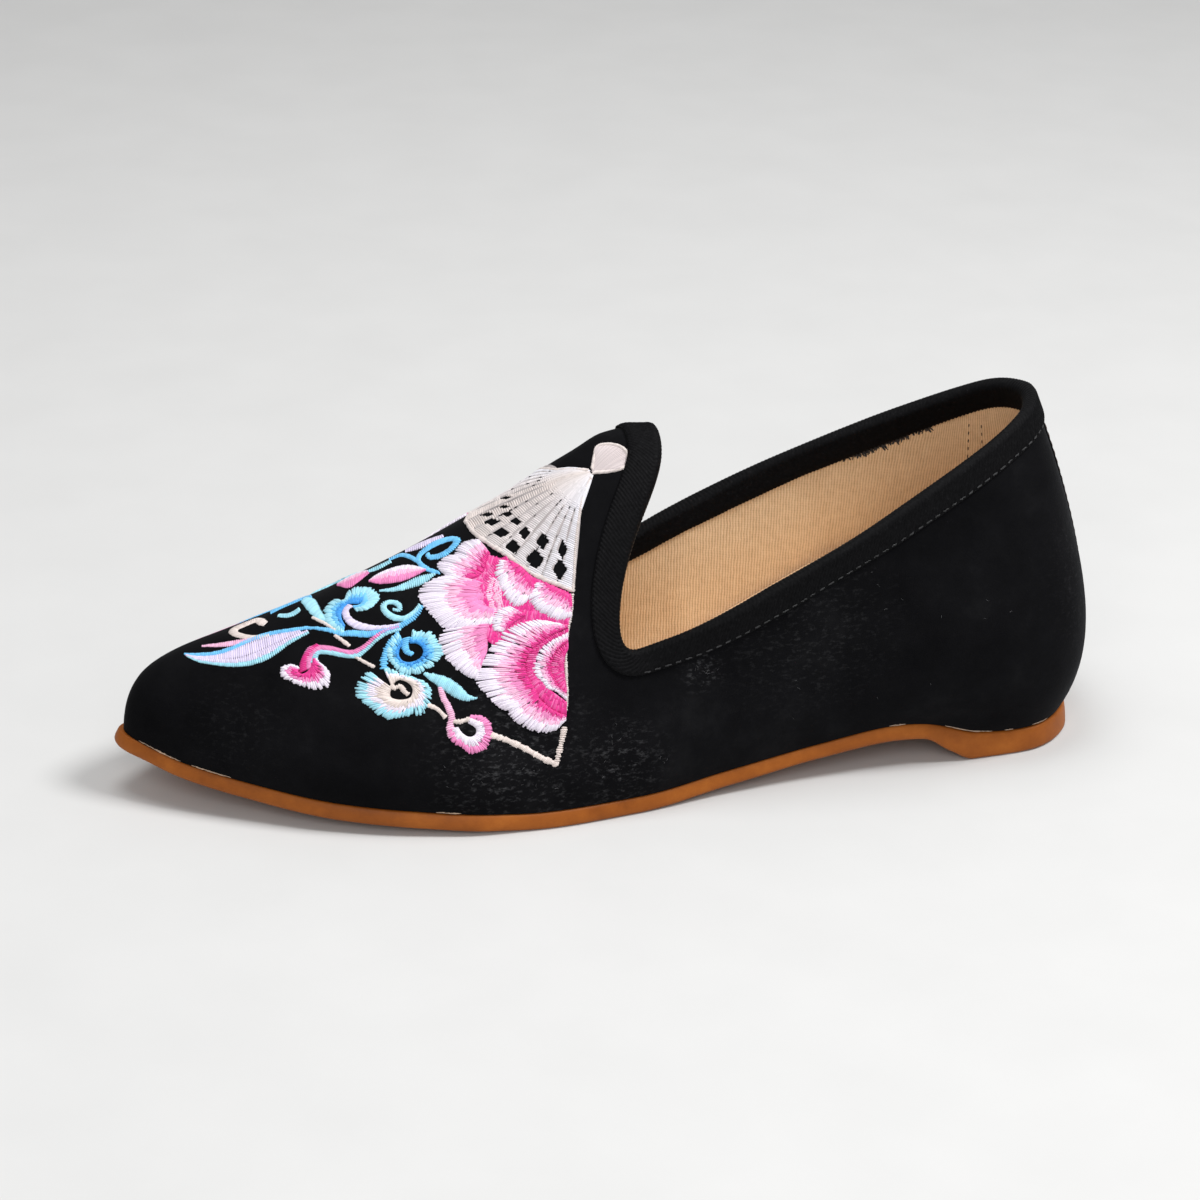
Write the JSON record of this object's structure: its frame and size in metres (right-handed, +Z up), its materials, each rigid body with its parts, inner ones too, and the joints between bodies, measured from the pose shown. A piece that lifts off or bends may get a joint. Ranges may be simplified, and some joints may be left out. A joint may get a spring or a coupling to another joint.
{
  "type": "chinese cloth shoe",
  "caption": "Left embroidered cloth slip-on shoe: pointed toe, high tab, steep open collar, thin rubber sole with a low heel, hidden wedge.",
  "frame": {"origin": "on the floor, under the middle of the whole shoe's box", "axes": "-X to the toe tip, +X to the heel, -Y to the outer (little toe) side, +Z up from the floor"},
  "size_m": [0.2558, 0.0804, 0.0924],
  "materials": {
    "rubber": "matt brown crepe rubber",
    "insole_cloth": "tan ribbed cotton",
    "upper_cloth": "black cotton, matt",
    "ribbon": "black ribbed ribbon, matt"
  },
  "bodies": {
    "root": {"outsole": "rubber", "insole": "insole_cloth", "upper": "upper_cloth", "topline_binding": "ribbon"}
  },
  "joints": []
}
